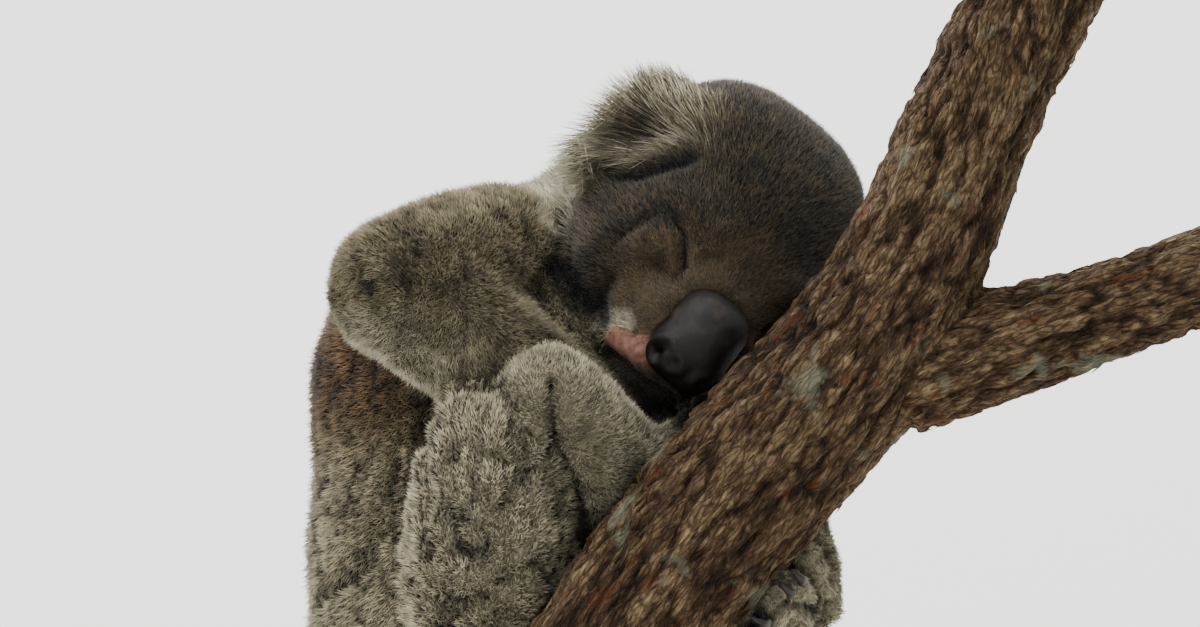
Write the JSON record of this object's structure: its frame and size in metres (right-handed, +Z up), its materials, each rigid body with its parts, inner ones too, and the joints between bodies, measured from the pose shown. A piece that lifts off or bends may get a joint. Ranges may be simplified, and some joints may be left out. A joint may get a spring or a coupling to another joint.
{
  "type": "koala",
  "caption": "Life-size koala asleep sitting up, cheek against a leaning gum trunk that it hugs with arms and legs, on a flat stand with rods.",
  "frame": {"origin": "middle of the stand base's underside, on the floor", "axes": "+Z up; +X the way the trunk leans; -Y the side that the sleeper's face turns to"},
  "size_m": [0.5401, 0.35, 0.6121],
  "materials": {
    "coat_body": "dense woolly brown-grey fur",
    "coat_head": "short dark brown-grey fur",
    "coat_pale": "dense pale grey fur",
    "coat_ear": "long grey-white ear fringe",
    "nose_skin": "fine grained black skin, soft sheen",
    "claw_horn": "smooth dark horn",
    "gum_wood": "fibrous furrowed bark, sawn ends",
    "stand_timber": "satin lacquer",
    "stand_steel": "brushed"
  },
  "bodies": {
    "root": {"nose_pad": "nose_skin", "ear_right": "coat_ear", "ear_left": "coat_ear", "head": "coat_head", "perch_stem": "gum_wood", "perch_side_limb": "gum_wood", "perch_seat_limb": "gum_wood", "hand_right_claw_1": "claw_horn", "hand_right_claw_2": "claw_horn", "hand_right_claw_3": "claw_horn", "hand_right_claw_4": "claw_horn", "hand_right_claw_5": "claw_horn", "hand_left_claw_1": "claw_horn", "hand_left_claw_2": "claw_horn", "hand_left_claw_3": "claw_horn", "hand_left_claw_4": "claw_horn", "hand_left_claw_5": "claw_horn", "foot_right_claw_1": "claw_horn", "foot_right_claw_2": "claw_horn", "foot_right_claw_3": "claw_horn", "foot_right_claw_4": "claw_horn", "foot_left_claw_1": "claw_horn", "foot_left_claw_2": "claw_horn", "foot_left_claw_3": "claw_horn", "foot_left_claw_4": "claw_horn", "hand_right": "coat_pale", "hand_left": "coat_pale", "foot_right": "coat_pale", "foot_left": "coat_pale", "arm_right_upper": "coat_body", "arm_right_fore": "coat_body", "arm_left_upper": "coat_body", "arm_left_fore": "coat_body", "leg_right_shin": "coat_pale", "leg_right_thigh": "coat_pale", "leg_left_shin": "coat_pale", "leg_left_thigh": "coat_pale", "neck": "coat_head", "chest": "coat_body", "belly": "coat_body", "rump": "coat_body", "stand_base": "stand_timber", "stand_rod_front": "stand_steel", "stand_rod_back": "stand_steel"}
  },
  "joints": []
}
